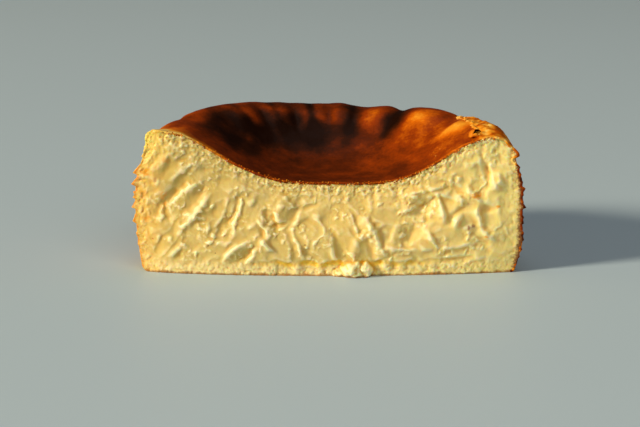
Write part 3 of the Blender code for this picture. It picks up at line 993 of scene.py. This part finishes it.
def burnAndPaintedLightAt(angle, fromMiddle, spot):
    # 0 is pale and 1 is black: browning, with painted light and shade mixed in
    # painted light: the left is paler where its slope lies in shade
    burnAndPaintedLight = skin["topBurn"] - fading(skin["rightPaler"], spot.x) - fading(skin["leftPaintedLight"], -spot.x)
    strength, least, uneven, size = skin["patchBurn"]
    for place, away, wide, deep in skin["burntPatches"]:
        near = math.exp(-(((angle - place) / wide) ** 2) - (((fromMiddle - away) / deep) ** 2))
        burnAndPaintedLight += strength * near * (least + uneven * noise.noise(spot / size))
    slope = smoothStep(*skin["slope"], fromMiddle)
    burnAndPaintedLight -= fading(skin["slopePaler"], angle) * slope
    burnAndPaintedLight += fading(skin["slopeDarker"], angle) * slope
    # painted highlight on the rounded lobes
    burnAndPaintedLight -= skin["lobeHighlight"] * lobeAt(angle, fromMiddle)
    rim = smoothStep(*skin["rim"], fromMiddle)
    burnAndPaintedLight -= skin["rimPaler"] * rim
    # painted shade in the creases between the lobes
    for place, darker in skin["creaseShade"]:
        away = math.radians(angle - place) * fromMiddle / skin["creaseWidth"]
        burnAndPaintedLight += darker * math.exp(-away * away) * smoothStep(42.0, 50.0, fromMiddle) * (1.0 - rim)
    # the side is browned unevenly, and the outside of the rim at the right is only golden
    side = smoothStep(68.0, 72.0, fromMiddle)
    browned = skin["sideBurn"] + fading(skin["sideDarker"], spot.z)
    cloud, cloudSize = skin["sideClouds"]
    browned += cloud * noise.fractal(spot / cloudSize, 0.8, 2.1, 4) + bumpy(skin["sideSpecks"], spot)
    browned += skin["foldBurn"] * foldDepth(cake["folds"], angle, fromMiddle)
    burnAndPaintedLight += (browned - burnAndPaintedLight) * side * smoothStep(0.0, 8.0, spot.y)
    golden, uneven = skin["lumpBurn"]
    burnAndPaintedLight += (golden + bumpy(uneven, spot) - burnAndPaintedLight) * lumpAt(angle, fromMiddle, spot.z)
    brown, uneven = skin["nearBurn"]
    near = smoothStep(26.0, 2.0, angle) * smoothStep(48.0, 43.0, spot.z) * smoothStep(68.0, 71.0, fromMiddle)
    burnAndPaintedLight += (brown + bumpy(uneven, spot) - burnAndPaintedLight) * near
    height, halfHeight, depth = skin["dent"]
    missing = math.exp(-(((spot.z - height) / halfHeight) ** 2)) * smoothStep(4.0, 1.0, spot.y)
    burnAndPaintedLight -= burnAndPaintedLight * missing * smoothStep(66.0, 70.0, spot.x)
    start, bareRadius = skin["bareEnd"]
    start += 5.0 * noise.noise(spot / 3.0)
    bare = smoothStep(start, start + 6.0, angle) * smoothStep(bareRadius - 2.0, bareRadius + 3.0, fromMiddle)
    burnAndPaintedLight += (skin["bareBurn"] - burnAndPaintedLight) * bare * smoothStep(46.0, 50.0, spot.z)
    burnAndPaintedLight -= fading(skin["endPaler"], -spot.x) * math.exp(-spot.y / skin["endDepth"])
    place, spread = skin["corner"]
    burnAndPaintedLight -= fading(skin["cornerPaler"], fromMiddle) * math.exp(-(((angle - place) / spread) ** 2))
    paler, middle, spread, depth = skin["leftRim"]
    burnAndPaintedLight -= paler * math.exp(-(((spot.x - middle) / spread) ** 2) - spot.y / depth)
    # the knife bared lighter skin along its edge, most of all at the left
    atLeft = fading(skin["leftPart"], -spot.x)
    near, further = skin["knifeReach"]
    reach = near + further * atLeft
    burnAndPaintedLight -= (skin["knifePaler"] + skin["knifePalerLeft"] * atLeft) * math.exp(-spot.y / reach)
    return burnAndPaintedLight + 0.07 * noise.noise(spot / 16.0)


def makeSkin(material, marks):
    over, down, under = halfSection(skin["topSteps"], skin["sideSteps"], skin["footSteps"])
    bm = bmesh.new()
    spinSection(bm, over + down[1:] + under[1:], skin["turns"])
    bmesh.ops.recalc_face_normals(bm, faces=bm.faces)
    for vert in bm.verts:
        vert.co = shaped(vert.co)
    bm.normal_update()
    burnAndPaintedLightLayer = bm.verts.layers.float.new("burnAndPaintedLight")
    dryLayer = bm.verts.layers.float.new("dry")
    moves = []
    for vert in bm.verts:
        spot = vert.co.copy()
        angle, fromMiddle = around(spot)
        outer = smoothStep(*skin["turnsDown"], fromMiddle)
        top = bumpy(skin["bumps"], spot) + bumpy(skin["ripples"], spot)
        top += skin["lobeHeight"] * lobeAt(angle, fromMiddle)
        rough = lumpAt(angle, fromMiddle, spot.z) * (1.0 - smoothStep(71.0, 73.0, fromMiddle))
        top += rough * blistered(skin["blisters"], spot)
        side = bumpy(skin["sideLumps"], spot) + bumpy(skin["sideGrain"], spot)
        lift = (1.0 - outer) * top + outer * (side - skin["sideSunk"])
        dentHeight, dentHalf, dentDepth = skin["dent"]
        if spot.x > 66.0:
            dent = math.exp(-(((spot.z - dentHeight) / dentHalf) ** 2)) * smoothStep(5.0, 1.0, spot.y)
            lift -= dentDepth * dent
        start, bareRadius = skin["bareEnd"]
        bare = smoothStep(start, start + 6.0, angle) * smoothStep(bareRadius, bareRadius + 4.0, fromMiddle)
        lift += bare * smoothStep(40.0, 48.0, spot.z) * blistered(skin["bareRough"], spot)
        torn = flakeReach(spot.x, spot.z) * math.exp(-((spot.y / flakes["depth"]) ** 2)) * outer
        lifted = spot + outwards(vert) * lift * smoothStep(0.0, 2.0, spot.z)
        moves.append((vert, flaked(lifted, (1.0 - outer) * 9.0)))
        darker = skin["flakeBurn"][0 if spot.x > 0.0 else 1]
        vert[burnAndPaintedLightLayer] = burnAndPaintedLightAt(angle, fromMiddle, spot) + darker * smoothStep(0.1, 1.0, torn)
        vert[dryLayer] = outer * (skin["cutDryness"] + fading(skin["sideDryness"], spot.y))
    for vert, spot in moves:
        forward = 1.0 - smoothStep(0.0, 8.0, spot.y)
        stand = cutHeight(marks, spot.x, spot.z)[0] if forward > 0.0 else 0.0
        front = skin["overhang"] + fading(skin["leftBehind"], -spot.x)
        front += fading(skin["rightBehind"], spot.x) * smoothStep(*skin["rightCorner"], spot.x)
        vert.co = spot
        vert.co.y -= forward * (stand + front)
    print("skin", len(bm.verts), "points")
    piece = intoFrame(bm, "bakedSkin", material)
    wall = piece.modifiers.new("thickness", "SOLIDIFY")
    wall.thickness = skin["thickness"] * mm
    wall.offset = -1.0
    wall.use_quality_normals = True


# Torn scraps of skin on the golden lump, a burst bubble with a curled flap, crumbs along the edge, and pale
# flecks on the slope as painted glints

scraps = {
    "thickness": 0.7,
    "steps": 5,
    "tongue": {"root": (57.6, 3.4, 0.3), "tip": (53.9, 3.0, 0.9), "bend": (0.0, -0.3, 0.8), "width": 2.6},
    "hole": {
        "middle": (57.0, 5.6),
        "sunk": 0.5,
        "reach": (3.1, 3.2, 3.0),
        "turn": 48.0,
        "ragged": (0.5, 1.3),  # its rim: how far, over what size
        "inner": 0.84,  # size of the hollow within the shell
        # painted shade: the inside of the hole is near black
        "burnAndPaintedLight": (0.24, 0.95),  # outside and inside
        "rows": 9,
        "columns": 16,
    },
    "lumpScraps": 17,
    "lumpAngles": (3.0, 33.0),  # where they start, and how far round they go
    "lumpOut": (0.2, 1.0),
    "lumpWidth": (1.2, 2.6),
    "lumpLean": ((0.8, 2.0), (-1.2, 1.0), (0.3, 0.9)),  # least and most: to the left, back and up
    "lumpBurn": 0.12,
    "flapBurn": 0.26,
    "dry": 0.25,
    "crumbCount": 520,
    "crumbAlong": (-62.0, 66.0),
    "crumbBelow": (-0.5, 0.35),  # under the skin's edge: mean and spread
    "crumbInFront": (0.0, 0.35),
    "crumbSize": (0.12, 0.28),
    "crumbBurn": (0.32, 0.10),
    # painted highlights: pale flecks on the slope at the right stand in for glints
    "glintFleckCount": 22,
    "glintFleckPlace": (42.0, 13.0, 5.0, 4.0),  # middle and spread on the slope at the right
}


def addScrap(bm, burnAndPaintedLightLayer, root, tip, bend, width, burnAndPaintedLight, draw):
    # narrows to a point, with a raised middle
    along = tip - root
    side = along.cross(Vector((0.0, 1.0, 0.0))).normalized()
    rings = []
    for step in range(scraps["steps"]):
        share = step / scraps["steps"]
        middle = root + along * share + bend * (4.0 * share * (1.0 - share))
        half = width / 2 * (1.0 - share ** 1.4) * draw.uniform(0.75, 1.15)
        thick = Vector((0.0, scraps["thickness"] / 2 * (1.0 - 0.6 * share), 0.0))
        corners = (middle - side * half, middle - thick, middle + side * half, middle + thick)
        rings.append([bm.verts.new(corner) for corner in corners])
    point = bm.verts.new(tip)
    for first, second in zip(rings, rings[1:]):
        for i in range(4):
            bm.faces.new((first[i], first[(i + 1) % 4], second[(i + 1) % 4], second[i]))
    for i in range(4):
        bm.faces.new((rings[-1][i], rings[-1][(i + 1) % 4], point))
    bm.faces.new(rings[0][::-1])
    for vert in [v for ring in rings for v in ring] + [point]:
        vert[burnAndPaintedLightLayer] = burnAndPaintedLight + draw.uniform(-0.05, 0.05)


def addHole(bm, burnAndPaintedLightLayer):
    # a burst bubble on the inside of the rim: a small shell, open towards the cut, its inside painted near
    # black as shade
    hole = scraps["hole"]
    middle = topPoint(*hole["middle"]) - Vector((0.0, 0.0, hole["sunk"]))
    wide, deep, tall = hole["reach"]
    turn = Matrix.Rotation(math.radians(hole["turn"]), 3, "Z")
    far, size = hole["ragged"]
    rows, columns = hole["rows"], hole["columns"]
    grid = []
    for row in range(rows):
        back = math.pi / 2 * row / rows
        line = []
        for column in range(columns):
            over = math.pi * column / (columns - 1)
            x = wide * math.cos(over) * math.cos(back)
            y = deep * math.sin(back)
            z = tall * math.sin(over) * math.cos(back)
            ragged = far * noise.noise(Vector((x, y, z)) / size)
            y += ragged * (1.0 - row / rows) * 1.4
            vert = bm.verts.new(middle + turn @ Vector((x, y, z)) * (1.0 + 0.15 * ragged))
            vert[burnAndPaintedLightLayer] = hole["burnAndPaintedLight"][0]
            line.append(vert)
        grid.append(line)
    faces = []
    for row in range(rows - 1):
        for column in range(columns - 1):
            corners = grid[row][column:column + 2] + grid[row + 1][column:column + 2][::-1]
            faces.append(bm.faces.new(corners))
    made = bmesh.ops.extrude_face_region(bm, geom=faces)["geom"]
    for vert in [part for part in made if isinstance(part, bmesh.types.BMVert)]:
        vert.co = middle + (vert.co - middle) * hole["inner"]
        vert[burnAndPaintedLightLayer] = hole["burnAndPaintedLight"][1]


def addCrumb(bm, burnAndPaintedLightLayer, place, draw):
    size = draw.uniform(*scraps["crumbSize"])
    made = bmesh.ops.create_icosphere(bm, subdivisions=1, radius=size)["verts"]
    burnAndPaintedLight = draw.gauss(*scraps["crumbBurn"])
    for vert in made:
        vert.co = vert.co * draw.uniform(0.7, 1.3) + Vector(place)
        vert[burnAndPaintedLightLayer] = burnAndPaintedLight


def addCrumbs(bm, burnAndPaintedLightLayer, marks, draw):
    # pale flecks as painted glints on the slope at the right
    for _ in range(scraps["glintFleckCount"]):
        x, y, spreadX, spreadY = scraps["glintFleckPlace"]
        place = topPoint(draw.gauss(x, spreadX / 2), draw.gauss(y, spreadY / 2))
        addCrumb(bm, burnAndPaintedLightLayer, place, draw)
    for _ in range(scraps["crumbCount"]):
        x = draw.uniform(*scraps["crumbAlong"])
        z = topPoint(x, 0.0).z + draw.gauss(*scraps["crumbBelow"])
        y = -cutHeight(marks, x, z)[0] - draw.uniform(*scraps["crumbInFront"])
        addCrumb(bm, burnAndPaintedLightLayer, (x, y, z), draw)


def makeScraps(material, marks):
    draw = random.Random(cut["seed"] + 1)
    bm = bmesh.new()
    burnAndPaintedLightLayer = bm.verts.layers.float.new("burnAndPaintedLight")
    dryLayer = bm.verts.layers.float.new("dry")
    for number in range(scraps["lumpScraps"]):
        start, span = scraps["lumpAngles"]
        angle = start + span * (number + draw.uniform(0.1, 0.9)) / scraps["lumpScraps"]
        out = lumpEdge(angle) + draw.uniform(*scraps["lumpOut"])
        turn = math.radians(angle)
        root = topPoint(out * math.cos(turn), out * math.sin(turn)) + Vector((0.6, 0.0, -0.1))
        alongX, alongY, alongZ = scraps["lumpLean"]
        lean = Vector((-draw.uniform(*alongX), draw.uniform(*alongY), draw.uniform(*alongZ)))
        width = draw.uniform(*scraps["lumpWidth"])
        addScrap(bm, burnAndPaintedLightLayer, root, root + lean, Vector((0.0, 0.0, 0.3)), width, scraps["lumpBurn"], draw)
    tongue = scraps["tongue"]
    ends = (tongue["root"], tongue["tip"])
    foot, tip = (topPoint(x, y) + Vector((0.0, 0.0, lift)) for x, y, lift in ends)
    addScrap(bm, burnAndPaintedLightLayer, foot, tip, Vector(tongue["bend"]), tongue["width"], scraps["flapBurn"], draw)
    for vert in bm.verts:
        vert[dryLayer] = scraps["dry"]
    addHole(bm, burnAndPaintedLightLayer)
    bmesh.ops.recalc_face_normals(bm, faces=bm.faces)
    print("scraps", len(bm.verts), "points")
    intoFrame(bm, "skinScraps", material)
    bm = bmesh.new()
    burnAndPaintedLightLayer = bm.verts.layers.float.new("burnAndPaintedLight")
    addCrumbs(bm, burnAndPaintedLightLayer, marks, draw)
    print("crumbs", len(bm.verts), "points")
    intoFrame(bm, "edgeCrumbs", material)


# The studio: pale floor, warm light low from the left, cool light from the front and above

studio = {
    "distance": 700.0,  # the camera's, mm
    "pitch": 13.0,  # degrees that it looks down
    "lens": 101.9,
    "aimRight": -3.5,
    "aimHeight": 23.2,
    "lights": (  # name, place, size, power, colour
        ("sun", (-6800.0, -2700.0, 3400.0), 1.6, 820.0, "#FFE9C4"),
        ("front", (700.0, -1800.0, 1500.0), 1.6, 17.0, "#FFF0D4"),
        ("above", (0.0, 300.0, 2200.0), 1.5, 7.0, "#F4F4F0"),
    ),
    "lightsAim": (0.0, 20.0, 30.0),
    "floorSize": 3.0,  # m
    "card": "#B4CCE2",
    "cardRoughness": 0.6,
    "sky": "#D6D6D2",
    "skyStrength": 0.06,
}


def aim(thing, target):
    thing.rotation_euler = (target - thing.location).to_track_quat("-Z", "Y").to_euler()


def addLight(name, place, size, power, colour):
    light = bpy.data.lights.new(name, "AREA")
    light.size = size
    light.energy = power
    light.color = linearColour(colour)[:3]
    holder = bpy.data.objects.new(name, light)
    bpy.context.scene.collection.objects.link(holder)
    holder.location = cutMiddle + Vector(place) * mm
    aim(holder, cutMiddle + Vector(studio["lightsAim"]) * mm)


def setStudio():
    bm = bmesh.new()
    bmesh.ops.create_grid(bm, x_segments=2, y_segments=2, size=studio["floorSize"])
    mesh = bpy.data.meshes.new("floor")
    bm.to_mesh(mesh)
    bm.free()
    # Matt painted card: an even pale ground that shows no grain.
    sockets = {"Base Color": linearColour(studio["card"]), "Roughness": studio["cardRoughness"]}
    mesh.materials.append(startMaterial("painted card", sockets)[0])
    floor = bpy.data.objects.new("floor", mesh)
    bpy.context.scene.collection.objects.link(floor)
    world = bpy.data.worlds.new("studio")
    bpy.context.scene.world = world
    world.use_nodes = True
    sky = world.node_tree.nodes["Background"]
    sky.inputs["Color"].default_value = linearColour(studio["sky"])
    sky.inputs["Strength"].default_value = studio["skyStrength"]
    for light in studio["lights"]:
        addLight(*light)
    camera = bpy.data.objects.new("camera", bpy.data.cameras.new("camera"))
    camera.data.lens = studio["lens"]
    camera.data.sensor_width = 36.0
    camera.data.clip_start = 0.01
    bpy.context.scene.collection.objects.link(camera)
    pitch = math.radians(studio["pitch"])
    target = cutMiddle + Vector((studio["aimRight"], 0.0, studio["aimHeight"])) * mm
    back = Vector((0.0, -math.cos(pitch), math.sin(pitch))) * studio["distance"] * mm
    camera.location = target + back
    aim(camera, target)
    bpy.context.scene.camera = camera
    bpy.context.scene.view_settings.view_transform = "Standard"


noise.seed_set(cut["seed"])  # otherwise noise_vector differs from run to run
setStudio()
print("studio set")
cutMarks = makeMarks()
bakedSkin = skinMaterial()
makeCustard(custardMaterial(), cutMarks)
makeSkin(bakedSkin, cutMarks)
makeScraps(bakedSkin, cutMarks)
print("cake made")
